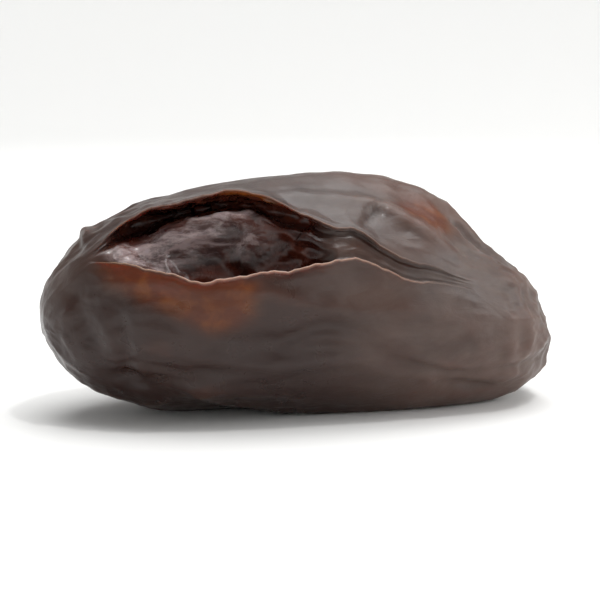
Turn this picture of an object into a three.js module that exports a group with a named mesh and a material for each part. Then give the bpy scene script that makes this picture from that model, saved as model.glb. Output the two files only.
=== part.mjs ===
// A pitted date: one soft, wrinkled fruit with a long slit along its upper front side, and the hollow that its
// stone left. Millimetres, +Z up. The fruit lies along X, tip at -X and stem end at +X, and its slit faces the
// front (-Y) and up. The surface is a loft: every cross-section is one closed curve that runs round the skin, over
// a lip, down into the hollow and out over the other lip. Folds and dents are then raised from it by formula.
import * as THREE from "three";

// Driving sizes of the fruit
const TIP_AT = -19.75; // x of the tip, with x = 0 where the fruit is widest
const STEM_AT = 21.4;
const WIDTH = 20;
const HEIGHT = 19.3;
const TIP_SHARPNESS = 0.84; // power of the sine that swells the tip half: above 1 is pointed, below 1 blunt
const STEM_SHARPNESS = 0.74;
const STEM_TAPER = 0.25; // share of its height that the fruit loses towards the stem end
const DROOP = 4.3; // how far the stem end sags below the middle
const TIP_DROOP = 0.8;
const SCAR_DEPTH = 1.6; // the round hollow where the stem was
const SCAR_RADIUS = 2.2;
const PRESSED = 0.75; // how much of the belly is pressed flat where the fruit lies
const PRESS_BLEND = 0.8; // height over which the pressed spot rounds into the belly

// Driving sizes of the slit and of the stone's hollow
const SLIT_FROM = -16.5; // where the slit starts, near the tip
const SLIT_WIDEST = -7.5;
const HOLLOW_TO = 1.3; // where the wide hollow ends and the slit goes on as a shallow furrow
const SLIT_TO = 12.5; // where the furrow closes, near the stem end
const GAPE = 4.3; // half the gap where it is widest
const FURROW_GAPE = 1.25; // half the gap of the furrow behind the hollow
const PINCH = 0.4; // half the gap where the slit closes
const SLIT_UP = 44; // degrees above the horizon that it faces
const HOLLOW_TURN = 11.5; // degrees that it turns down along the hollow
const FURROW_TURN = 10; // degrees more along the furrow
const CREST_DEPTH = 1.2; // of the lining's crest between the two grooves of the hollow, where it leans most
const CREST_LEAN = 2.7; // of that crest, towards the back lip
const CREST_SINK = 1.4; // how much deeper it starts at the tip's end of the slit
const FURROW_CREST_DEPTH = 0.32;
const LIP_RAISE = 0.45; // how far the lip stands up from the skin
const LIP_ROLL = 0.4; // how far it curls in over the hollow
const UNCUT_HALF_ANGLE = 17; // degrees of plain skin that the slit's curve points cover beyond its ends

// The groove along each side of the lining's crest: its depth in the hollow and in the furrow, how far across it
// reaches under the lip, and where on the way up to the crest the lining bends, as a share of that reach and of
// that depth. Below 0 the bend is on the other side of the slit's middle.
const BACK_GROOVE = { depth: 4.1, furrowDepth: 0.3, reach: 6.5, bendAt: 0.54, bendDown: 0.5 };
const FRONT_GROOVE = { depth: 7.4, furrowDepth: 0.4, reach: 5.2, bendAt: -0.15, bendDown: 0.62 };

// Fineness of the mesh
const STATIONS = 66; // cross-sections from tip to stem end
const ROUND = 84; // points round each cross-section
const LIP_AT = 0.32; // where round half a section its lip is, from the lining's crest (0) to the far side (1)

// Long folds in the skin: between two places along X, at an angle round the fruit that runs from the first to the
// second with a bend between, and with a half width and a height in millimetres. Angle 0 faces the front, 90 up.
const LONG_FOLDS = [
  { x: [0, 15], angle: [85, 80], bend: 0, half: 4.0, height: 0.7 },
  { x: [8, 21], angle: [75, 60], bend: 0, half: 4.0, height: 0.9 },
  { x: [0.4, 3.9], angle: [50, 36], bend: -2, half: 0.45, height: -0.55 },
  { x: [2.6, 6.2], angle: [32, 61], bend: 0, half: 0.5, height: -0.6 },
  { x: [3.8, 13], angle: [40, 25], bend: -2, half: 0.55, height: 0.4 },
  { x: [8.5, 16.5], angle: [16, 26], bend: 0, half: 0.6, height: -0.6 },
  { x: [7, 13], angle: [11, 13], bend: 3, half: 0.6, height: 0.3 },
  { x: [4, 17], angle: [62, 22], bend: -4, half: 0.9, height: 0.45 },
  { x: [10, 17], angle: [72, 48], bend: 0, half: 0.7, height: -0.5 },
  { x: [5.5, 15], angle: [82, 66], bend: 6, half: 1.0, height: 0.45 },
  { x: [-3.5, 4.5], angle: [-20, -21], bend: 9, half: 0.7, height: 0.35 },
  { x: [-4, 5], angle: [-14, -15], bend: 9, half: 0.7, height: -0.3 },
  { x: [-12, 2], angle: [-6, -12], bend: -7, half: 1.3, height: -0.3 },
  { x: [1, 14], angle: [0, -6], bend: 6, half: 0.9, height: 0.3 },
  { x: [2, 12], angle: [-26, -20], bend: -5, half: 1.0, height: 0.35 },
  { x: [9, 16.5], angle: [-34, -41], bend: 0, half: 0.8, height: -0.5 },
  { x: [-16, -2], angle: [-44, -34], bend: 8, half: 1.1, height: -0.5 },
  { x: [-13, 10], angle: [98, 112], bend: 8, half: 1.2, height: -0.6 },
  { x: [-9, 15], angle: [142, 128], bend: -10, half: 1.1, height: 0.5 },
  { x: [-15, 6], angle: [176, 160], bend: 12, half: 1.2, height: -0.6 },
  { x: [-6, 16], angle: [192, 204], bend: -9, half: 0.9, height: 0.55 },
];

// Folds that run part of the way round the fruit: the place along X at the given angle, how that place shifts with
// each radian further round and falls back with its square, and how far round they reach.
const RING_FOLDS = [
  { x: 17.3, angle: 0, shift: 0, curl: 4.5, reach: 55, half: 0.6, height: 0.25 },
  { x: 15.6, angle: -6, shift: -0.8, curl: 2.5, reach: 45, half: 0.7, height: 0.22 },
  { x: 12.6, angle: 165, shift: 1.2, curl: 0, reach: 45, half: 0.8, height: -0.5 },
  { x: -14.2, angle: -20, shift: -0.9, curl: 0, reach: 60, half: 0.6, height: -0.4 },
  { x: -15.8, angle: 120, shift: 0.7, curl: 0, reach: 70, half: 0.5, height: 0.4 },
];

const GOLDEN = (Math.sqrt(5) - 1) / 2;
const rad = THREE.MathUtils.degToRad;
const { lerp, smoothstep, clamp } = THREE.MathUtils;

// 1 at the centre, 0 from one half-width away, smooth in between.
const hump = (x, centre, half) => (1 + Math.cos(Math.PI * clamp((x - centre) / half, -1, 1))) / 2;

// 1 on the line, falling off as a bell with distance.
const bell = (distance, half) => Math.exp(-((distance / half) ** 2));

// A smooth field with one main wavelength: plane waves in even directions, phases by the golden ratio.
// Features are longer along X by the stretch. Its typical size is 1.
function waves(p, wavelength, stretch, seed) {
  const count = 9;
  let sum = 0;
  for (let k = 0; k < count; k++) {
    const up = 1 - (2 * k + 1) / count;
    const turn = 2 * Math.PI * GOLDEN * (k + seed);
    const side = Math.sqrt(1 - up * up);
    const along = (side * Math.cos(turn) * p.x) / stretch + side * Math.sin(turn) * p.y + up * p.z;
    const phase = 2 * Math.PI * (5 * (k + 1) * GOLDEN + 0.37 * seed);
    sum += Math.cos((2 * Math.PI * along) / wavelength + phase);
  }
  return sum * Math.sqrt(2 / count);
}

// The fruit's own line and half sizes at u, from the tip (0) to the stem end (1).
function body(u) {
  const angle = Math.PI * u;
  const sharpness = lerp(TIP_SHARPNESS, STEM_SHARPNESS, smoothstep(u, 0.2, 0.8));
  const swell = Math.sin(angle) ** sharpness;
  const radius = (swell * WIDTH) / 2;
  const scar = SCAR_DEPTH * bell(radius, SCAR_RADIUS) * smoothstep(u, 0.5, 0.9);
  return {
    x: (TIP_AT + STEM_AT) / 2 - ((STEM_AT - TIP_AT) / 2) * Math.cos(angle) - scar,
    z: -DROOP * smoothstep(u, 0.5, 1) - TIP_DROOP * smoothstep(1 - u, 0.65, 1),
    half: { y: radius, z: ((swell * HEIGHT) / 2) * (1 - STEM_TAPER * smoothstep(u, 0.5, 1)) },
  };
}

// The slit at a place along the fruit. Distances are in millimetres, and open, wide and uncut run from 0 to 1.
function slit(x) {
  const side = x < SLIT_WIDEST ? SLIT_FROM : HOLLOW_TO;
  const away = clamp((x - SLIT_WIDEST) / (side - SLIT_WIDEST), 0, 1);
  const wide = (1 - away ** 2) ** 1.3;
  const furrow = x < SLIT_WIDEST ? PINCH : lerp(FURROW_GAPE, PINCH, smoothstep(x, HOLLOW_TO, SLIT_TO));
  const turned = HOLLOW_TURN * smoothstep(x, -6, 1.5) + FURROW_TURN * smoothstep(x, 2.6, 7);
  return {
    angle: rad(SLIT_UP + 5 * smoothstep(-x, 8, 12) - turned),
    wide,
    lean: smoothstep(x, SLIT_FROM + 1, SLIT_WIDEST),
    gap: lerp(furrow, GAPE, wide),
    open: smoothstep(x, SLIT_FROM - 1, SLIT_FROM + 4) * (1 - smoothstep(x, SLIT_TO - 5, SLIT_TO + 1)),
    uncut: 1 - smoothstep(x, SLIT_FROM - 4, SLIT_FROM + 1) + smoothstep(x, SLIT_TO - 1, SLIT_TO + 4),
    frontEdge: 0.1 * Math.sin(0.6 * x + 2.6) + 0.06 * Math.sin(1.9 * x) + 0.25 * hump(x, 2.5, 4),
    backEdge: 0.15 * Math.sin(0.8 * x + 0.4) + 0.08 * Math.sin(2.1 * x + 1) - 0.8 * hump(x, -9, 6),
  };
}

// Curve points of half a section from its far side to the lining, and the lining's crest between the halves.
// side is +1 for the half above the slit and -1 for the half below it.
function halfSection(place, cut, side) {
  const skin = (angle) => [-place.half.y * Math.cos(angle), place.half.z * Math.sin(angle)];
  const rim = Math.hypot(...skin(cut.angle));
  const [outY, outZ] = skin(cut.angle).map((v) => v / rim);
  const [acrossY, acrossZ] = [side * outZ, -side * outY];
  const edge = cut.open * (side > 0 ? cut.backEdge : cut.frontEdge);
  const groove = side > 0 ? BACK_GROOVE : FRONT_GROOVE;
  const gap = clamp(cut.gap + edge, PINCH / 2, 0.9 * rim);
  const half = lerp(Math.asin(gap / rim), rad(UNCUT_HALF_ANGLE), cut.uncut);
  const points = [];
  const skinSteps = 12;
  const lipAngle = half + rad(7);
  for (let k = 0; k < skinSteps; k++)
    points.push(skin(cut.angle + side * lerp(Math.PI, lipAngle, k / (skinSteps - 1))));
  const grooveAt = lerp(0.8 * gap, groove.reach, cut.wide);
  const deep = lerp(groove.furrowDepth, groove.depth, cut.wide ** 0.7);
  const bend = lerp(0.5, groove.bendAt, cut.lean * cut.wide);
  // Each point over the lip: its share of the half angle where the skin is uncut, and its place across and down.
  const overLip = [
    [1.0, gap + 0.2, -LIP_RAISE * smoothstep(cut.gap, 0, 2)],
    [0.92, gap - Math.min(LIP_ROLL, 0.4 * gap), -0.1],
    [0.8, lerp(gap, grooveAt, 0.1), 0.16 * deep],
    [0.65, lerp(gap, grooveAt, 0.75), 0.45 * deep],
    [0.45, 0.84 * grooveAt, 0.92 * deep],
    [0.22, bend * grooveAt, groove.bendDown * deep],
  ];
  for (const [share, across, down] of overLip) {
    const flat = skin(cut.angle + side * half * share);
    const level = Math.sqrt(rim * rim - Math.min(across, rim) ** 2) - down;
    const opened = [outY * level + acrossY * across, outZ * level + acrossZ * across];
    points.push([lerp(flat[0], opened[0], cut.open), lerp(flat[1], opened[1], cut.open)]);
  }
  const sunk = CREST_DEPTH + CREST_SINK * (1 - cut.lean);
  const level = rim - cut.open * lerp(FURROW_CREST_DEPTH, sunk, smoothstep(cut.wide, 0, 0.8));
  const lean = side * cut.open * cut.wide * cut.lean * CREST_LEAN;
  return { points, crest: [outY * level + acrossY * lean, outZ * level + acrossZ * lean] };
}

// The closed section at u as curve points, starting on the far side and going round by way of the hollow.
function section(u) {
  const place = body(u);
  const cut = slit(place.x);
  const above = halfSection(place, cut, 1);
  const below = halfSection(place, cut, -1);
  const ring = [...above.points, above.crest, ...below.points.slice(1).reverse()];
  return ring.map(([y, z]) => new THREE.Vector3(place.x, y, place.z + z));
}

// A closed uniform cubic spline guided by the curve points, at t from 0 to 1.
function onSpline(points, t) {
  const at = t * points.length;
  const k = Math.floor(at);
  const f = at - k;
  const weights = [(1 - f) ** 3, 3 * f ** 3 - 6 * f ** 2 + 4, -3 * f ** 3 + 3 * f ** 2 + 3 * f + 1, f ** 3];
  const sum = new THREE.Vector3();
  weights.forEach((w, i) => sum.addScaledVector(points[(k + i - 1 + points.length) % points.length], w / 6));
  return sum;
}

// The shorter way round from one angle to another, in radians.
const turnBetween = (angle, from) => Math.atan2(Math.sin(angle - from), Math.cos(angle - from));

function longFold(fold, x, turn, radius) {
  const along = (x - fold.x[0]) / (fold.x[1] - fold.x[0]);
  if (along <= 0 || along >= 1) return 0;
  const middle = lerp(fold.angle[0], fold.angle[1], along) + fold.bend * Math.sin(Math.PI * along);
  const distance = turnBetween(turn, rad(middle)) * radius;
  return fold.height * bell(distance, fold.half) * Math.sin(Math.PI * along) ** 1.2;
}

function ringFold(fold, x, turn) {
  const round = turnBetween(turn, rad(fold.angle));
  const distance = x - fold.x - fold.shift * round + fold.curl * round ** 2;
  return fold.height * bell(distance, fold.half) * hump(round, 0, rad(fold.reach));
}

// Height of the folds over the plain surface. inside is 0 on the skin and 1 in the hollow, and turn goes round.
function relief(p, u, turn, radius, inside) {
  const bent = { x: p.x, y: p.y + 0.5 * waves(p, 12, 1.5, 4), z: p.z + 0.5 * waves(p, 13, 1.5, 5) };
  const middle = smoothstep(u, 0.02, 0.16) * (1 - smoothstep(u, 0.8, 0.97));
  const dents = 0.26 * waves(p, 13, 1.7, 1);
  const grooves = -0.45 * bell(waves(bent, 12, 3.2, 2), 0.5);
  const ridges = 0.28 * bell(waves(bent, 9, 2.8, 3), 0.5);
  let folds = 0;
  for (const fold of LONG_FOLDS) folds += longFold(fold, p.x, turn, radius);
  for (const fold of RING_FOLDS) folds += ringFold(fold, p.x, turn);
  const puckers = 0.07 * Math.cos(9 * turn + 1.3 * Math.sin(2 * turn)) * hump(u, 0.92, 0.08);
  const skin = (dents + grooves + ridges) * middle + folds + puckers;
  const lining = 0.15 * waves(p, 6, 1.5, 7) + 0.2 * bell(waves(bent, 6, 2, 8), 0.4);
  return lerp(skin, lining, inside);
}

// The loft as a grid of points: one ring for each station between the two poles.
function rings() {
  const made = [];
  for (let i = 1; i < STATIONS; i++) {
    const points = section(i / STATIONS);
    const ring = [];
    for (let j = 0; j < ROUND; j++) ring.push(onSpline(points, j / ROUND));
    made.push(ring);
  }
  return made;
}

// One closed skin over the rings, with a fan of triangles at each pole, facing out.
function closedGeometry(grid, tip, stem) {
  const positions = [...grid.flat(), tip, stem].flatMap((p) => p.toArray());
  const [tipAt, stemAt] = [grid.length * ROUND, grid.length * ROUND + 1];
  const last = grid.length - 1;
  const at = (i, j) => i * ROUND + (j % ROUND);
  const faces = [];
  for (let j = 0; j < ROUND; j++) {
    faces.push(tipAt, at(0, j + 1), at(0, j));
    for (let i = 0; i < last; i++) {
      faces.push(at(i, j), at(i + 1, j + 1), at(i + 1, j));
      faces.push(at(i, j), at(i, j + 1), at(i + 1, j + 1));
    }
    faces.push(stemAt, at(last, j), at(last, j + 1));
  }
  const geometry = new THREE.BufferGeometry();
  geometry.setAttribute("position", new THREE.Float32BufferAttribute(positions, 3));
  geometry.setIndex(faces);
  geometry.computeVertexNormals();
  return geometry;
}

// Raises every point of the plain loft along its own normal.
function fold(geometry) {
  const { position, normal } = geometry.attributes;
  const [p, n] = [new THREE.Vector3(), new THREE.Vector3()];
  for (let i = 0; i < (STATIONS - 1) * ROUND; i++) {
    p.fromBufferAttribute(position, i);
    n.fromBufferAttribute(normal, i);
    const u = Math.floor(i / ROUND + 1) / STATIONS;
    const place = body(u);
    const cut = slit(place.x);
    const across = Math.abs((i % ROUND) / ROUND - 0.5) * 2;
    const inside = (1 - smoothstep(across, LIP_AT - 0.05, LIP_AT + 0.04)) * cut.open;
    const nearSlit = (1 - smoothstep(across, LIP_AT, LIP_AT + 0.14)) * (1 - cut.uncut ** 3);
    const thin = 1 - 0.8 * bell(across - LIP_AT, 0.07) * cut.open;
    const ends = smoothstep(u, 0, 0.04) * (1 - smoothstep(u, 0.95, 1));
    const room = ends * thin * lerp(1, smoothstep(cut.gap, 0.5, 2.5), nearSlit);
    const turn = Math.atan2(p.z - place.z, -p.y);
    p.addScaledVector(n, room * relief(p, u, turn, place.half.y, inside));
    position.setXYZ(i, p.x, p.y, p.z);
  }
}

// Lays the fruit on its belly: presses the lowest part flat, rounds that into the belly, and centres the whole.
function lay(geometry) {
  geometry.computeBoundingBox();
  const { position } = geometry.attributes;
  const rest = geometry.boundingBox.min.z + PRESSED;
  for (let i = 0; i < position.count; i++) {
    const above = position.getZ(i) - rest;
    const blend = clamp(above, 0, PRESS_BLEND);
    position.setZ(i, blend ** 2 / (2 * PRESS_BLEND) + Math.max(above - PRESS_BLEND, 0));
  }
  geometry.computeBoundingBox();
  const centre = geometry.boundingBox.getCenter(new THREE.Vector3());
  geometry.translate(-centre.x, -centre.y, 0);
  geometry.computeVertexNormals();
}

function date() {
  const pole = (u) => new THREE.Vector3(body(u).x, 0, body(u).z);
  const geometry = closedGeometry(rings(), pole(0), pole(1));
  fold(geometry);
  lay(geometry);
  const flesh = new THREE.MeshStandardMaterial({ color: 0x3a1d14, roughness: 0.38, metalness: 0 });
  const mesh = new THREE.Mesh(geometry, flesh);
  mesh.name = "date";
  return mesh;
}

const fruit = new THREE.Group();
fruit.add(date());
export default fruit;
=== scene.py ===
"""A pitted date: dark wrinkled skin, a long open slit, and the crinkled lining where its stone was."""
import math

import bpy
import numpy as np
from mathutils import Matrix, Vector


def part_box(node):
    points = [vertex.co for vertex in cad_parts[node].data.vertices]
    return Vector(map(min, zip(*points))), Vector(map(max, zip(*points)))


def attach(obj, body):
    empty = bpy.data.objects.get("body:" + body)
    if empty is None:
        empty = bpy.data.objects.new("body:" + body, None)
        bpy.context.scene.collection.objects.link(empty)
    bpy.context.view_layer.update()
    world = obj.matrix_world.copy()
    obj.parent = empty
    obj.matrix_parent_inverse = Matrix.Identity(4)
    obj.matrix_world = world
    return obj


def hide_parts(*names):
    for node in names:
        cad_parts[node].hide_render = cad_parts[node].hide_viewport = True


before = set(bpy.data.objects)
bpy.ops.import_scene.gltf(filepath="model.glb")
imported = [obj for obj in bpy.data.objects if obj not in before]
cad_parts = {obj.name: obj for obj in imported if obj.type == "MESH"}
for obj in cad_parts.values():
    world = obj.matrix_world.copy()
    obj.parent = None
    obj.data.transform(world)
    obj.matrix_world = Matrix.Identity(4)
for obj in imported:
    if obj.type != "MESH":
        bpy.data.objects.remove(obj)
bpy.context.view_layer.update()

MM = 0.001  # metres in a millimetre

# The fruit, in millimetres
TIP_AT = -19.75  # x of the tip, with x = 0 where the fruit is widest
STEM_AT = 21.4
WIDTH = 20
HEIGHT = 19.3
TIP_SHARPNESS = 0.84  # power of the sine that swells the tip half: above 1 is pointed, below 1 is blunt
STEM_SHARPNESS = 0.74
STEM_TAPER = 0.25  # how much flatter than wide the stem end is
DROOP = 4.3  # how far the stem end sags below the middle
TIP_DROOP = 0.8
SCAR_DEPTH = 1.6  # the round hollow where the stem was
SCAR_RADIUS = 2.2
PRESSED = 0.75  # how much of the belly is pressed flat where the fruit lies
PRESS_BLEND = 0.8  # height over which the pressed spot rounds into the belly

# The slit and the stone's hollow, in millimetres and degrees
SLIT_FROM = -16.5
SLIT_WIDEST = -7.5
HOLLOW_TO = 1.3  # where the wide hollow ends and the slit goes on as a shallow furrow
SLIT_TO = 12.5
GAPE = 4.3  # half the gap where it is widest
FURROW_GAPE = 1.25
PINCH = 0.4
SLIT_UP = 44  # degrees above the horizon that it faces
TIP_TURN = 5  # degrees that it turns up towards the tip
HOLLOW_TURN = 11.5  # degrees that it turns down along the hollow
FURROW_TURN = 10  # degrees more along the furrow
CREST_DEPTH = 1.2  # of the crest of the loose lining between the two grooves, where it leans most
CREST_LEAN = 2.7  # of that crest, towards the back lip
CREST_SINK = 1.4  # how much deeper it starts at the tip's end of the slit
FURROW_CREST_DEPTH = 0.32
LIP_RAISE = 0.45
LIP_ROLL = 0.4
LIP_SPACE = 7  # degrees of skin between the lip's edge and the next curve point
UNCUT_HALF_ANGLE = 17  # degrees of plain skin that the slit's curve points cover beyond its ends

# The groove of the hollow along each side of the lining's crest: its depth, its depth in the furrow, how far
# across it reaches under the lip, and where on the way up to the crest the lining bends, as a share of that
# reach and of that depth. Below 0 the bend is on the other side of the slit's middle.
BACK_GROOVE = dict(depth=4.1, furrow_depth=0.3, reach=6.5, bend_at=0.54, bend_down=0.5)
FRONT_GROOVE = dict(depth=7.4, furrow_depth=0.4, reach=5.2, bend_at=-0.15, bend_down=0.62)
LIP_AT = 0.32  # where round half a section its lip lies, from the hollow's floor (0) to the far side (1)
LIP_CREST_AT = 0.305  # the thin edge itself, on the same scale
LIP_CREST_HALF = 0.01  # its half width, on the same scale
LIP_CREST_HEIGHT = 0.17  # in millimetres
RIM_AT = 0.285  # the inner rim of the back lip, on the same scale

# Fineness of the visible surface
STATIONS = 250  # cross-sections from tip to stem end
ROUND = 396  # points round each cross-section
SKIN_STEPS = 12  # curve points of the skin on each side of the slit
SCALE_STEPS = 4001  # of the fine scale that places the points round a section

# Long folds in the skin, between two places along X, at an angle round the fruit that runs from the first to
# the second with a bend between. Angle 0 faces the front, 90 is up.
LONG_FOLDS = [
    dict(x=(0, 15), angle=(85, 80), bend=0, half=4.0, height=0.7),
    dict(x=(8, 21), angle=(75, 60), bend=0, half=4.0, height=0.9),
    dict(x=(0.4, 3.9), angle=(50, 36), bend=-2, half=0.45, height=-0.55),
    dict(x=(2.6, 6.2), angle=(32, 61), bend=0, half=0.5, height=-0.6),
    dict(x=(3.8, 13), angle=(40, 25), bend=-2, half=0.55, height=0.4),
    dict(x=(8.5, 16.5), angle=(16, 26), bend=0, half=0.6, height=-0.6),
    dict(x=(7, 13), angle=(11, 13), bend=3, half=0.6, height=0.3),
    dict(x=(4, 17), angle=(62, 22), bend=-4, half=0.9, height=0.45),
    dict(x=(10, 17), angle=(72, 48), bend=0, half=0.7, height=-0.5),
    dict(x=(5.5, 15), angle=(82, 66), bend=6, half=1.0, height=0.45),
    dict(x=(-3.5, 4.5), angle=(-20, -21), bend=9, half=0.7, height=0.35),
    dict(x=(-4, 5), angle=(-14, -15), bend=9, half=0.7, height=-0.3),
    dict(x=(-12, 2), angle=(-6, -12), bend=-7, half=1.3, height=-0.3),
    dict(x=(1, 14), angle=(0, -6), bend=6, half=0.9, height=0.3),
    dict(x=(2, 12), angle=(-26, -20), bend=-5, half=1.0, height=0.35),
    dict(x=(9, 16.5), angle=(-34, -41), bend=0, half=0.8, height=-0.5),
    dict(x=(-16, -2), angle=(-44, -34), bend=8, half=1.1, height=-0.5),
    dict(x=(-13, 10), angle=(98, 112), bend=8, half=1.2, height=-0.6),
    dict(x=(-9, 15), angle=(142, 128), bend=-10, half=1.1, height=0.5),
    dict(x=(-15, 6), angle=(176, 160), bend=12, half=1.2, height=-0.6),
    dict(x=(-6, 16), angle=(192, 204), bend=-9, half=0.9, height=0.55),
]

# Folds that run part of the way round: the place along X at the given angle, how that place shifts with each
# radian further round and falls back with its square, and how far round they reach.
RING_FOLDS = [
    dict(x=17.3, angle=0, shift=0, curl=4.5, reach=55, half=0.6, height=0.25),
    dict(x=15.6, angle=-6, shift=-0.8, curl=2.5, reach=45, half=0.7, height=0.22),
    dict(x=12.6, angle=165, shift=1.2, curl=0, reach=45, half=0.8, height=-0.5),
    dict(x=-14.2, angle=-20, shift=-0.9, curl=0, reach=60, half=0.6, height=-0.4),
    dict(x=-15.8, angle=120, shift=0.7, curl=0, reach=70, half=0.5, height=0.4),
]

GOLDEN = (math.sqrt(5) - 1) / 2


def lerp(start, end, share):
    """Start plus the share of the way to the end."""
    return start + (end - start) * share


def smoothstep(x, low, high):
    """Smooth rise from 0 at low to 1 at high: 3t^2 - 2t^3 of the way t between them."""
    t = np.clip((x - low) / (high - low), 0, 1)
    return t * t * (3 - 2 * t)


def hump(x, centre, half):
    """1 at the centre, 0 from one half-width away: a raised cosine."""
    return (1 + np.cos(np.pi * np.clip((x - centre) / half, -1, 1))) / 2


def bell(distance, half):
    """1 on the line, falling off as exp(-(distance / half)^2)."""
    return np.exp(-((distance / half) ** 2))


def waves(place, wavelength, stretch, seed):
    """A smooth field of size 1: nine plane waves in even directions, with phases by the golden ratio."""
    x, y, z = place
    count = 9
    total = 0
    for k in range(count):
        up = 1 - (2 * k + 1) / count
        turn = 2 * math.pi * GOLDEN * (k + seed)
        side = math.sqrt(1 - up * up)
        along = side * math.cos(turn) * x / stretch + side * math.sin(turn) * y + up * z
        phase = 2 * math.pi * (5 * (k + 1) * GOLDEN + 0.37 * seed)
        total = total + np.cos(2 * math.pi * along / wavelength + phase)
    return total * math.sqrt(2 / count)


def crumple(place, wavelength, stretch, seed):
    """Creased sheet: 1 - |waves|, so 1 on a crease and falling straight away from it, at two wavelengths."""
    x, y, z = place
    bend = 0.12 * wavelength * waves(place, 1.6 * wavelength, stretch, seed + 3)
    bent = (x, y + bend, z - bend)
    coarse = 1 - np.abs(waves(bent, wavelength, stretch, seed))
    fine = 1 - np.abs(waves(bent, wavelength / 2, stretch, seed + 1))
    return coarse + 0.4 * fine


def body(u):
    """The fruit's line and half sizes: x goes as -cos(pi u), and both half sizes as sin(pi u) to a power."""
    sharpness = lerp(TIP_SHARPNESS, STEM_SHARPNESS, smoothstep(u, 0.2, 0.8))
    swell = np.sin(np.pi * u) ** sharpness
    radius = swell * WIDTH / 2
    scar = SCAR_DEPTH * bell(radius, SCAR_RADIUS) * smoothstep(u, 0.5, 0.9)
    return dict(
        x=(TIP_AT + STEM_AT) / 2 - (STEM_AT - TIP_AT) / 2 * np.cos(np.pi * u) - scar,
        z=-DROOP * smoothstep(u, 0.5, 1) - TIP_DROOP * smoothstep(1 - u, 0.65, 1),
        half_y=radius,
        half_z=swell * HEIGHT / 2 * (1 - STEM_TAPER * smoothstep(u, 0.5, 1)),
    )


def slit(x):
    """The slit: its gap swells as (1 - away^2)^1.3 between its ends, over a furrow that tapers."""
    away = np.clip((x - SLIT_WIDEST) / (np.where(x < SLIT_WIDEST, SLIT_FROM, HOLLOW_TO) - SLIT_WIDEST), 0, 1)
    wide = (1 - away**2) ** 1.3
    furrow = np.where(x < SLIT_WIDEST, PINCH, lerp(FURROW_GAPE, PINCH, smoothstep(x, HOLLOW_TO, SLIT_TO)))
    ragged = 0.03 * np.sin(4.3 * x) + 0.02 * np.sin(7.9 * x + 2)
    return dict(
        angle=np.radians(
            SLIT_UP
            + TIP_TURN * smoothstep(-x, 8, 12)
            - HOLLOW_TURN * smoothstep(x, -6, 1.5)
            - FURROW_TURN * smoothstep(x, 2.6, 7)
        ),
        wide=wide,
        lean=smoothstep(x, SLIT_FROM + 1, SLIT_WIDEST),
        gap=lerp(furrow, GAPE, wide),
        open=smoothstep(x, SLIT_FROM - 1, SLIT_FROM + 4) * (1 - smoothstep(x, SLIT_TO - 5, SLIT_TO + 1)),
        uncut=1 - smoothstep(x, SLIT_FROM - 4, SLIT_FROM + 1) + smoothstep(x, SLIT_TO - 1, SLIT_TO + 4),
        front_edge=0.1 * np.sin(0.6 * x + 2.6) + 0.06 * np.sin(1.9 * x) + 0.25 * hump(x, 2.5, 4) + ragged,
        back_edge=0.15 * np.sin(0.8 * x + 0.4) + 0.08 * np.sin(2.1 * x + 1) - 0.8 * hump(x, -9, 6) - ragged,
    )


def half_section(place, cut, side):
    """Curve points of half of every section, from the far side over the lip, and the crest of the lining."""

    def skin(angle):
        return np.stack([-place["half_y"] * np.cos(angle), place["half_z"] * np.sin(angle)], -1)

    facing = cut["angle"]
    rim = np.hypot(*skin(facing).T)
    out = skin(facing) / rim[:, None]
    across_way = side * out[:, ::-1] * (1, -1)
    is_open, wide = cut["open"], cut["wide"]
    edge = is_open * (cut["back_edge"] if side > 0 else cut["front_edge"])
    groove = BACK_GROOVE if side > 0 else FRONT_GROOVE
    gap = np.clip(cut["gap"] + edge, PINCH / 2, 0.9 * rim)
    half = lerp(np.arcsin(gap / rim), math.radians(UNCUT_HALF_ANGLE), cut["uncut"])
    lip_angle = half + math.radians(LIP_SPACE)
    points = [skin(facing + side * lerp(math.pi, lip_angle, k / (SKIN_STEPS - 1))) for k in range(SKIN_STEPS)]
    groove_at = lerp(0.8 * gap, groove["reach"], wide)
    deep = lerp(groove["furrow_depth"], groove["depth"], wide**0.7)
    over_lip = [
        (1.0, gap + 0.2, -LIP_RAISE * smoothstep(cut["gap"], 0, 2)),
        (0.92, gap - np.minimum(LIP_ROLL, 0.4 * gap), -0.1),
        (0.8, lerp(gap, groove_at, 0.1), 0.16 * deep),
        (0.65, lerp(gap, groove_at, 0.75), 0.45 * deep),
        (0.45, 0.84 * groove_at, 0.92 * deep),
        (0.22, lerp(0.5, groove["bend_at"], cut["lean"] * wide) * groove_at, groove["bend_down"] * deep),
    ]
    for share, across, down in over_lip:
        flat = skin(facing + side * half * share)
        level = np.sqrt(rim**2 - np.minimum(across, rim) ** 2) - down
        opened = out * level[:, None] + across_way * across[:, None]
        points.append(lerp(flat, opened, is_open[:, None]))
    sunk = CREST_DEPTH + CREST_SINK * (1 - cut["lean"])
    down = is_open * lerp(FURROW_CREST_DEPTH, sunk, smoothstep(wide, 0, 0.8))
    lean = side * is_open * wide * cut["lean"] * CREST_LEAN
    crest = out * (rim - down)[:, None] + across_way * lean[:, None]
    return np.stack(points, 1), crest


def places_round():
    """Where round a section its points lie, from 0 to 1: even, but three times as close at the two lips."""
    even = np.linspace(0, 1, SCALE_STEPS)
    across = np.abs(even - 0.5) * 2
    crowding = np.cumsum(1 + 2 * bell(across - LIP_CREST_AT, 0.05))
    crowding = (crowding - crowding[0]) / (crowding[-1] - crowding[0])
    return np.interp(np.arange(ROUND) / ROUND, crowding, even)


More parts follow.
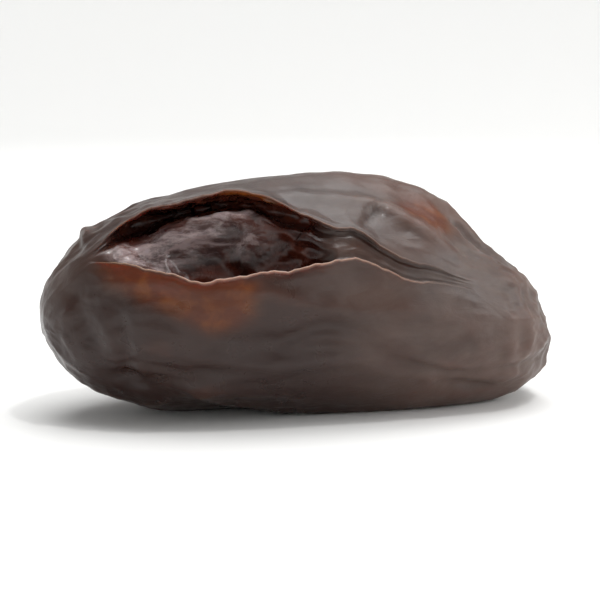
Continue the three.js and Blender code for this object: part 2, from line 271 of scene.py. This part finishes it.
def plain_loft(u, t):
    """A closed cubic spline guided by each section's curve points: rows are stations u, columns places t."""
    place = body(u)
    cut = slit(place["x"])
    above, crest = half_section(place, cut, 1)
    below, _ = half_section(place, cut, -1)
    ring = np.concatenate([above, crest[:, None], below[:, :0:-1]], 1)
    count = ring.shape[1]
    step = np.floor(t * count).astype(int)
    f = t * count - step
    weights = [(1 - f) ** 3, 3 * f**3 - 6 * f**2 + 4, -3 * f**3 + 3 * f**2 + 3 * f + 1, f**3]
    yz = sum(w[None, :, None] / 6 * ring[:, (step + i - 1) % count] for i, w in enumerate(weights))
    x = np.broadcast_to(place["x"][:, None], yz.shape[:2])
    return np.stack([x, yz[..., 0], yz[..., 1] + place["z"][:, None]], -1)


def outward(surface):
    """The unit normal at every grid point: the cross product of the way round and the way along."""
    along = np.gradient(surface, axis=0)
    round_ = np.roll(surface, -1, 1) - np.roll(surface, 1, 1)
    normal = np.cross(round_, along)
    return normal / np.linalg.norm(normal, axis=-1, keepdims=True)


def turn_between(angle, start):
    """The shorter way round from the start to the angle, in radians."""
    return np.arctan2(np.sin(angle - start), np.cos(angle - start))


def long_fold(fold, x, turn, radius):
    """A ridge or groove along the fruit: a bell across it, times sin(pi t)^1.2 along it."""
    (x_from, x_to), (angle_from, angle_to) = fold["x"], fold["angle"]
    along = np.clip((x - x_from) / (x_to - x_from), 0, 1)
    middle = lerp(angle_from, angle_to, along) + fold["bend"] * np.sin(np.pi * along)
    distance = turn_between(turn, np.radians(middle)) * radius
    return fold["height"] * bell(distance, fold["half"]) * np.maximum(np.sin(np.pi * along), 0) ** 1.2


def ring_fold(fold, x, turn):
    """A ridge or groove round the fruit: a bell across it, times a raised cosine round it."""
    round_ = turn_between(turn, math.radians(fold["angle"]))
    distance = x - fold["x"] - fold["shift"] * round_ + fold["curl"] * round_**2
    return fold["height"] * bell(distance, fold["half"]) * hump(round_, 0, math.radians(fold["reach"]))


def main_folds(place, u, turn, radius, inside):
    """Height of the folds that the solid has too: dents, grooves and ridges by waves, and the lists above."""
    x, y, z = place
    bent = (x, y + 0.5 * waves(place, 12, 1.5, 4), z + 0.5 * waves(place, 13, 1.5, 5))
    middle = smoothstep(u, 0.02, 0.16) * (1 - smoothstep(u, 0.8, 0.97))
    dents = 0.26 * waves(place, 13, 1.7, 1)
    grooves = -0.45 * bell(waves(bent, 12, 3.2, 2), 0.5)
    ridges = 0.28 * bell(waves(bent, 9, 2.8, 3), 0.5)
    folds = sum(long_fold(fold, x, turn, radius) for fold in LONG_FOLDS)
    folds = folds + sum(ring_fold(fold, x, turn) for fold in RING_FOLDS)
    puckers = 0.07 * np.cos(9 * turn + 1.3 * np.sin(2 * turn)) * hump(u, 0.92, 0.08)
    skin = (dents + grooves + ridges) * middle + folds + puckers
    lining = 0.15 * waves(place, 6, 1.5, 7) + 0.2 * bell(waves(bent, 6, 2, 8), 0.4)
    return lerp(skin, lining, inside)


def loose_skin(place, x):
    """How loose the skin is, from about 0 to 1.25: slow waves, and looser towards the ends."""
    return 0.25 + 0.6 * smoothstep(waves(place, 15, 1.4, 6), -0.5, 1.0) + 0.4 * smoothstep(np.abs(x), 8, 15)


def fine_wrinkles(place, loose, inside):
    """Height of what only the visible surface has: fine creases, gathers over the slit, a crumpled lining."""
    x, y, z = place
    long_creases = 0.12 * crumple(place, 4.4, 2.6, 11) + 0.05 * crumple(place, 1.9, 2.0, 14)
    gathers = 0.035 * waves((x, y / 3, z / 3), 2.6, 1, 27) * hump(x, 3, 8) * smoothstep(z, 5, 9)
    skin = (long_creases - 0.12) * loose + gathers + 0.008 * waves(place, 0.9, 1.6, 17)
    lining = 0.22 * crumple(place, 3.4, 2.4, 21) + 0.12 * crumple(place, 1.5, 2.2, 25) - 0.26
    return lerp(skin, lining, inside)


def press_flat(z, rest):
    """Height above the surface it lies on: flat up to rest, then a parabola that runs into the belly."""
    above = z - rest
    return np.clip(above, 0, PRESS_BLEND) ** 2 / (2 * PRESS_BLEND) + np.maximum(above - PRESS_BLEND, 0)


def date_surface():
    """The whole visible surface in millimetres, as (stations, round, 3), its two poles, and its masks."""
    u = np.arange(1, STATIONS) / STATIONS
    t = places_round()
    surface = plain_loft(u, t)
    place = body(u)
    cut = slit(place["x"])
    column = {name: value[:, None] for name, value in {**place, **cut}.items()}
    across = np.abs(t - 0.5)[None, :] * 2
    inside = (1 - smoothstep(across, LIP_AT - 0.05, LIP_AT + 0.04)) * column["open"]
    near_slit = (1 - smoothstep(across, LIP_AT, LIP_AT + 0.14)) * (1 - column["uncut"] ** 3)
    thin = 1 - 0.8 * bell(across - LIP_AT, 0.07) * column["open"]
    ends = (smoothstep(u, 0, 0.04) * (1 - smoothstep(u, 0.95, 1)))[:, None]
    room = ends * thin * lerp(1, smoothstep(column["gap"], 0.5, 2.5), near_slit)
    x, y, z = np.moveaxis(surface, -1, 0)
    turn = np.arctan2(z - column["z"], -y)
    folds = room * main_folds((x, y, z), u[:, None], turn, column["half_y"], inside)
    surface = surface + outward(surface) * folds[..., None]
    rest = surface[..., 2].min() + PRESSED

    fields = tuple(np.moveaxis(surface, -1, 0))
    loose = loose_skin(fields, x)
    lip = column["open"] * smoothstep(column["gap"], 0.3, 1.5)
    lip_crest = LIP_CREST_HEIGHT * bell(across - LIP_CREST_AT, LIP_CREST_HALF) * lip
    wrinkles = room * fine_wrinkles(fields, loose, inside) + lip_crest
    surface = surface + outward(surface) * wrinkles[..., None]

    surface[..., 2] = press_flat(surface[..., 2], rest)
    centre = (surface.min((0, 1)) + surface.max((0, 1))) / 2
    solid_low, solid_high = (np.array(corner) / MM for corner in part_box("date"))
    shift = np.array([*((solid_low + solid_high) / 2 - centre)[:2], 0])
    poles = []
    for end in (0.0, 1.0):
        pole = body(np.array([end]))
        poles.append([pole["x"][0], 0, press_flat(pole["z"][0], rest)])
    to_front = 2 * t[None, :] - 1
    masks = dict(
        lining=inside * smoothstep(column["wide"], 0.0, 0.2),
        # painted highlight along the lip's thin edge: full on the front lip, 0.3 on the back lip
        lip=bell(across - LIP_CREST_AT, 0.007) * lip * np.where(to_front > 0, 1, 0.3),
        fold=np.clip(0.5 + (folds + 2 * wrinkles) / 1.2, 0, 1),
        scar=smoothstep(u, 0.945, 0.962)[:, None],
        amber=amber_zone(x, turn, cut, inside),
        # bloom mask: waxy bloom, plus painted light on what faces up and painted shade on the belly
        bloom_and_light=bloom_and_light_zone(x, turn),
        rim=rim_zone(x, across, to_front),
        membrane_and_sheen=membrane_and_sheen_zone(x, to_front),
    )
    return surface + shift, np.array(poles) + shift, masks


def membrane_and_sheen_zone(x, to_front):
    """How papery the lining is, and where its painted sheen goes: on its crest, from the slit's tip end to
    where the hollow narrows.
    """
    crest = smoothstep(to_front, -0.055, -0.02) * (1 - smoothstep(to_front, 0.03, 0.065))
    return crest * smoothstep(x, SLIT_FROM, SLIT_FROM + 3) * (1 - smoothstep(x, -5, -1.5))


def rim_zone(x, across, to_front):
    """Where light glows through the inner rim of the back lip: a bell across it, times a hump along it."""
    return bell(across - RIM_AT, 0.025) * (to_front < 0) * hump(x, -4.6, 3.2)


def amber_zone(x, turn, cut, inside):
    """Thin see-through skin: a patch under the front lip in the tip half, and one up near the stem end."""
    lip = (cut["angle"] - np.arcsin(np.clip(cut["gap"] / (WIDTH / 2), 0, 0.9)))[:, None]
    tip_half = smoothstep(x, -17.5, -13) * (1 - smoothstep(x, -8, -3))
    under_lip = hump(turn_between(turn, lip), -0.12, 0.5) * tip_half
    shoulder = 0.7 * hump(turn_between(turn, math.radians(60)), 0, 0.4) * hump(x, 9.5, 4)
    return np.clip((under_lip + shoulder) * (1 - inside), 0, 1)


def bloom_and_light_zone(x, turn):
    """Pale waxy bloom and painted light: more towards the stem end and on what faces up, less on the belly,
    so the top and the stem end are painted lighter and the belly darker.
    """
    return np.clip(0.15 + 0.75 * smoothstep(x, -3, 14) + 0.3 * np.sin(turn), 0, 1)


def as_mesh(name, surface, poles, masks):
    """One closed mesh over the grid, with a fan at each pole, a UV map along and round it, and the masks."""
    rows, columns = surface.shape[:2]
    points = np.concatenate([surface.reshape(-1, 3), poles]) * MM
    at = np.arange(rows * columns).reshape(rows, columns)
    following = np.roll(at, -1, 1)
    quads = np.stack([at[:-1], following[:-1], following[1:], at[1:]], -1).reshape(-1, 4)
    tip, stem = rows * columns, rows * columns + 1
    tip_fan = np.stack([np.full(columns, tip), following[0], at[0]], -1)
    stem_fan = np.stack([np.full(columns, stem), at[-1], following[-1]], -1)
    mesh = bpy.data.meshes.new(name)
    mesh.from_pydata(points.tolist(), [], quads.tolist() + tip_fan.tolist() + stem_fan.tolist())
    mesh.polygons.foreach_set("use_smooth", np.ones(len(mesh.polygons), bool))
    for label, values in masks.items():
        flat = np.broadcast_to(values, (rows, columns)).ravel()
        ends = [np.mean(flat[:columns]), np.mean(flat[-columns:])]
        layer = mesh.attributes.new(label, "FLOAT", "POINT")
        layer.data.foreach_set("value", np.concatenate([flat, ends]).astype(np.float32))
    add_uv(mesh, rows, columns)
    mesh.update()
    return mesh


def add_uv(mesh, rows, columns):
    """UV map: along the fruit in U and round it in V, which runs on to 1 where a face meets the seam."""
    corners = np.empty(len(mesh.loops), np.int32)
    mesh.loops.foreach_get("vertex_index", corners)
    row, column = np.divmod(corners, columns)
    along = np.where(row < rows, (row + 1) / (rows + 1), np.where(column == 0, 0, 1))
    starts = np.empty(len(mesh.polygons), np.int32)
    mesh.polygons.foreach_get("loop_start", starts)
    sizes = np.empty(len(mesh.polygons), np.int32)
    mesh.polygons.foreach_get("loop_total", sizes)
    face = np.repeat(np.arange(len(starts)), sizes)
    pole = row >= rows
    widest = np.maximum.reduceat(np.where(pole, 0, column), starts)[face]
    narrowest = np.minimum.reduceat(np.where(pole, columns, column), starts)[face]
    crosses = widest - narrowest > columns / 2
    wound = np.where(crosses & (column == 0), columns, column)
    wound = np.where(pole, (widest + narrowest) / 2, wound)
    layer = mesh.uv_layers.new(name="along_and_round")
    layer.data.foreach_set("uv", np.stack([along, wound / columns], -1).astype(np.float32).ravel())


class Recipe:
    """A material's node tree, with short ways to add what this fruit's finish needs."""

    def __init__(self, name):
        self.material = bpy.data.materials.new(name)
        self.material.use_nodes = True
        self.tree = self.material.node_tree
        self.finish = self.tree.nodes["Principled BSDF"]
        self.place = self.tree.nodes.new("ShaderNodeTexCoord").outputs["Object"]

    def put(self, value, socket):
        """A link where the value is another node's output, and otherwise a plain value."""
        if isinstance(value, bpy.types.NodeSocket):
            self.tree.links.new(value, socket)
        else:
            socket.default_value = value

    def mask(self, name):
        """One of the mesh's masks, from 0 to 1."""
        made = self.tree.nodes.new("ShaderNodeAttribute")
        made.attribute_name = name
        return made.outputs["Fac"]

    def noise(self, size_mm, detail=3, roughness=0.55, distortion=0.0, stretch=1.0, kind="FBM"):
        """Cloudy or ridged noise with features of about this size, drawn out along X by the stretch."""
        mapping = self.tree.nodes.new("ShaderNodeMapping")
        mapping.inputs["Scale"].default_value = (1 / stretch, 1, 1)
        self.tree.links.new(self.place, mapping.inputs["Vector"])
        made = self.tree.nodes.new("ShaderNodeTexNoise")
        made.noise_type = kind
        made.inputs["Scale"].default_value = 1 / (size_mm * MM)
        made.inputs["Detail"].default_value = detail
        made.inputs["Roughness"].default_value = roughness
        made.inputs["Distortion"].default_value = distortion
        self.tree.links.new(mapping.outputs["Vector"], made.inputs["Vector"])
        return made.outputs["Fac"]

    def rescale(self, value, low, high, to_low=0.0, to_high=1.0):
        """The value's range from low to high, taken to another range and held there."""
        made = self.tree.nodes.new("ShaderNodeMapRange")
        made.interpolation_type = "SMOOTHSTEP"
        self.put(value, made.inputs["Value"])
        for name, number in zip(("From Min", "From Max", "To Min", "To Max"), (low, high, to_low, to_high)):
            made.inputs[name].default_value = number
        return made.outputs["Result"]

    def maths(self, operation, first, second):
        """One sum, product or the like of two values."""
        made = self.tree.nodes.new("ShaderNodeMath")
        made.operation = operation
        self.put(first, made.inputs[0])
        self.put(second, made.inputs[1])
        return made.outputs["Value"]

    def blend(self, share, first, second):
        """The first colour where the share is 0, and the second where it is 1."""
        made = self.tree.nodes.new("ShaderNodeMix")
        made.data_type = "RGBA"
        for value, socket in zip((share, first, second), (made.inputs[0], made.inputs[6], made.inputs[7])):
            self.put(value, socket)
        return made.outputs[2]

    def blend_numbers(self, share, first, second):
        """The first number where the share is 0, and the second where it is 1."""
        made = self.tree.nodes.new("ShaderNodeMix")
        made.data_type = "FLOAT"
        for value, socket in zip((share, first, second), (made.inputs[0], made.inputs[2], made.inputs[3])):
            self.put(value, socket)
        return made.outputs[0]

    def bump(self, height, distance_mm, strength, under=None):
        """Fine relief of the given height, over an earlier one where there is one."""
        made = self.tree.nodes.new("ShaderNodeBump")
        made.inputs["Distance"].default_value = distance_mm * MM
        made.inputs["Strength"].default_value = strength
        self.put(height, made.inputs["Height"])
        if under is not None:
            self.tree.links.new(under, made.inputs["Normal"])
        return made.outputs["Normal"]


# Colours, linear
NEAR_BLACK = (0.020, 0.0068, 0.0046, 1)
RED_BROWN = (0.050, 0.0200, 0.0120, 1)
THIN_RED = (0.088, 0.030, 0.0165, 1)
AMBER = (0.080, 0.0150, 0.0012, 1)
HONEY = (0.190, 0.055, 0.0060, 1)
# grey of the waxy bloom, also laid on as painted light on the top and the stem end
BLOOM_AND_LIGHT_GREY = (0.160, 0.124, 0.108, 1)
# colour of the painted highlight along the lips' edges
LIP_EDGE_HIGHLIGHT = (0.420, 0.270, 0.210, 1)
DARK_MAROON = (0.022, 0.0055, 0.0038, 1)
BLOOD_RED = (0.085, 0.0200, 0.0110, 1)
# pale grey of the papery membrane, also laid on as painted reflection on its crinkles
PAPER_AND_SHEEN_GREY = (0.400, 0.310, 0.305, 1)
DRY_STEM = (0.120, 0.062, 0.032, 1)


def skin_colour(paint):
    """Dark mottled skin, redder on folds, amber where thin, with a dry scar, and how much bloom and painted
    light it has: painted light on top and towards the stem end, painted shade on the belly.
    """
    mottle = paint.rescale(paint.noise(6.5, 3, 0.5, 0.4, 1.8), 0.3, 0.72)
    # painted shade: less red-brown where the bloom and light mask is low, so the belly and the tip half's
    # underside are darker
    mottle = paint.maths("MULTIPLY", mottle, paint.rescale(paint.mask("bloom_and_light"), 0, 0.6, 0.2, 1))
    colour = paint.blend(mottle, NEAR_BLACK, RED_BROWN)
    raised = paint.rescale(paint.mask("fold"), 0.5, 0.9, 0, 0.4)
    colour = paint.blend(raised, colour, THIN_RED)
    clouds = paint.rescale(paint.noise(4.5, 3, 0.5, 0.5, 1.3), 0.25, 0.6, 0.7)
    amber = paint.rescale(paint.maths("MULTIPLY", paint.mask("amber"), clouds), 0.04, 0.6)
    glow = paint.blend(paint.rescale(paint.noise(1.8, 3, 0.5, 0.3), 0.42, 0.75, 0, 0.6), AMBER, HONEY)
    colour = paint.blend(paint.maths("MULTIPLY", amber, 0.92), colour, glow)
    # partly waxy bloom, partly painted light: greyer and paler towards the stem end and on what faces up
    dust = paint.rescale(paint.noise(3.8, 5, 0.6, 0.5, 1.5), 0.3, 0.72, 0.25)
    bloom_and_light = paint.maths("MULTIPLY", paint.mask("bloom_and_light"), dust)
    share = paint.maths("MULTIPLY", bloom_and_light, paint.rescale(amber, 0, 0.7, 0.55, 0.0))
    colour = paint.blend(share, colour, BLOOM_AND_LIGHT_GREY)
    fibres = paint.rescale(paint.noise(0.8, 4, 0.6), 0.35, 0.65, 0.35, 0.9)
    return paint.blend(paint.maths("MULTIPLY", paint.mask("scar"), fibres), colour, DRY_STEM), bloom_and_light


def lining_colour(paint):
    """Wet dark flesh, blood red in patches, a painted honey glow at the back lip, and a papery membrane over
    its crest whose pale streaks are partly painted reflection.
    """
    flesh = paint.blend(paint.rescale(paint.noise(2.8, 4, 0.6, 0.8, 1.6), 0.36, 0.62), DARK_MAROON, BLOOD_RED)
    # painted light: a honey glow where light shines through the back lip's inner rim
    flesh = paint.blend(paint.mask("rim"), flesh, HONEY)
    # pale streaks on the crest: partly the papery membrane's own colour, partly painted reflection of the
    # light on its crinkles
    streaks = paint.rescale(paint.noise(1.4, 6, 0.7, 0.3, 3.4), 0.42, 0.6, 0.15)
    paper_and_sheen = paint.maths("MULTIPLY", paint.rescale(paint.mask("membrane_and_sheen"), 0.05, 0.85), streaks)
    return paint.blend(paint.maths("MULTIPLY", paper_and_sheen, 0.85), flesh, PAPER_AND_SHEEN_GREY)


def date_finish():
    """The fruit's one finish: sticky, half glossy skin and a wet, glossy lining."""
    paint = Recipe("date_skin_and_lining")
    lining, lip = paint.mask("lining"), paint.mask("lip")
    skin, bloom_and_light = skin_colour(paint)
    colour = paint.blend(lining, skin, lining_colour(paint))
    # painted highlight: a pale line along the lips' thin edges
    colour = paint.blend(paint.maths("MULTIPLY", lip, 0.8), colour, LIP_EDGE_HIGHLIGHT)
    paint.put(colour, paint.finish.inputs["Base Color"])

    patchy = paint.rescale(paint.noise(2.0, 4, 0.6, 0.4), 0.3, 0.7, 0.24, 0.42)
    scar_dryness = paint.maths("MULTIPLY", paint.mask("scar"), 0.3)
    dry = paint.maths("ADD", paint.maths("MULTIPLY", bloom_and_light, 0.3), scar_dryness)
    wet = paint.rescale(paint.noise(1.1, 3), 0.35, 0.65, 0.12, 0.3)
    rough = paint.blend_numbers(lining, paint.maths("ADD", patchy, dry), wet)
    paint.put(rough, paint.finish.inputs["Roughness"])

    skin_grain = paint.noise(1.1, 5, 0.6, 0.6, 2.4)
    creases = paint.noise(1.5, 4, 0.55, 0.7, 2.4, "RIDGED_MULTIFRACTAL")
    relief = paint.blend_numbers(lining, skin_grain, paint.maths("MULTIPLY", creases, 4.0))
    normal = paint.bump(relief, 0.14, 0.5)
    paint.put(paint.bump(paint.noise(0.35, 3, 0.6), 0.02, 0.35, normal), paint.finish.inputs["Normal"])

    for name, value in {
        "IOR": 1.40,
        "Coat Weight": 0.10,
        "Coat Roughness": 0.12,
        "Coat IOR": 1.45,
        "Subsurface Weight": 0.12,
        "Subsurface Scale": 2.5 * MM,
        "Subsurface Radius": (1.0, 0.32, 0.14),
    }.items():
        paint.finish.inputs[name].default_value = value
    return paint.material


def make_date():
    """The one piece: the whole fruit, in place of its solid."""
    mesh = as_mesh("pitted_date", *date_surface())
    mesh.materials.append(date_finish())
    date = bpy.data.objects.new("pitted_date", mesh)
    bpy.context.scene.collection.objects.link(date)
    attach(date, "root")
    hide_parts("date")


# The studio, in metres and watts
AIM = (0.2 * MM, 0, 8.3 * MM)  # the point that the camera and the lights look at
CAMERA_TURN = -14  # degrees round from the front, so that the stem end is further away
CAMERA_UP = 9.4
CAMERA_AWAY = 0.125
LENS = 94  # millimetres, for a sensor 36 wide
NEAREST = 0.005  # that the camera sees
PANELS = [
    dict(name="overhead", place=(0.06, 0.08, 0.46), size=0.50, power=2.9),
    dict(name="right", place=(0.36, -0.16, 0.20), size=0.26, power=0.9),
    dict(name="sparkle", place=(0.10, -0.10, 0.45), size=0.03, power=0.45),
]
SURROUND = 0.26  # brightness of the white surround
PAPER = (0.80, 0.80, 0.79, 1)
PAPER_ROUGHNESS = 0.7
INNER_RING = 0.1  # radius of the one flat face in the floor's middle
FLAT_TO = 0.34  # how far from the fruit the floor stays flat
EDGE_RADIUS = 0.24  # of the bend that lifts its edge
EDGE_STEPS = 25
FLOOR_SECTORS = 96


def paper_finish():
    """Matt, pale paper."""
    paint = Recipe("pale_paper")
    paint.finish.inputs["Base Color"].default_value = PAPER
    paint.finish.inputs["Roughness"].default_value = PAPER_ROUGHNESS
    return paint.material


def make_floor():
    """A pale round floor: flat under and round the fruit, its edge lifted all round by a quarter circle."""
    bend = np.linspace(0, np.pi / 2, EDGE_STEPS)
    away = np.concatenate([[INNER_RING], FLAT_TO + EDGE_RADIUS * np.sin(bend)])
    up = np.concatenate([[0], EDGE_RADIUS * (1 - np.cos(bend))])
    turn = 2 * np.pi * np.arange(FLOOR_SECTORS) / FLOOR_SECTORS
    rings = (len(away), FLOOR_SECTORS)
    height = np.broadcast_to(up[:, None], rings)
    grid = np.stack([away[:, None] * np.cos(turn), away[:, None] * np.sin(turn), height], -1)
    at = np.arange(grid[..., 0].size).reshape(rings)
    following = np.roll(at, -1, 1)
    quads = np.stack([at[:-1], at[1:], following[1:], following[:-1]], -1).reshape(-1, 4)
    mesh = bpy.data.meshes.new("floor")
    mesh.from_pydata(grid.reshape(-1, 3).tolist(), [], quads.tolist() + [at[0].tolist()])
    mesh.polygons.foreach_set("use_smooth", np.ones(len(mesh.polygons), bool))
    mesh.materials.append(paper_finish())
    floor = bpy.data.objects.new("floor", mesh)
    bpy.context.scene.collection.objects.link(floor)


def add_soft_light(name, place, size, power):
    """A square panel of white light that looks at the fruit."""
    light = bpy.data.lights.new(name, "AREA")
    light.shape = "SQUARE"
    light.size = size
    light.energy = power
    panel = bpy.data.objects.new(name, light)
    panel.location = place
    panel.rotation_euler = (Vector(AIM) - Vector(place)).to_track_quat("-Z", "Y").to_euler()
    bpy.context.scene.collection.objects.link(panel)


def make_camera():
    """The camera in front of the slit, a little to the left and above."""
    camera = bpy.data.objects.new("camera", bpy.data.cameras.new("camera"))
    turn, up = math.radians(CAMERA_TURN), math.radians(CAMERA_UP)
    back = Vector((math.sin(turn) * math.cos(up), -math.cos(turn) * math.cos(up), math.sin(up)))
    camera.location = Vector(AIM) + back * CAMERA_AWAY
    camera.rotation_euler = (-back).to_track_quat("-Z", "Y").to_euler()
    camera.data.lens = LENS
    camera.data.clip_start = NEAREST
    bpy.context.scene.collection.objects.link(camera)
    bpy.context.scene.camera = camera


def make_studio():
    """Plain soft light: a broad panel above, a weaker one at the right, a small one, and a pale surround."""
    make_floor()
    for panel in PANELS:
        add_soft_light(**panel)
    world = bpy.data.worlds.new("surround")
    world.use_nodes = True
    world.node_tree.nodes["Background"].inputs["Color"].default_value = (1, 1, 1, 1)
    world.node_tree.nodes["Background"].inputs["Strength"].default_value = SURROUND
    bpy.context.scene.world = world
    bpy.context.scene.view_settings.view_transform = "Standard"


make_date()
make_camera()
make_studio()
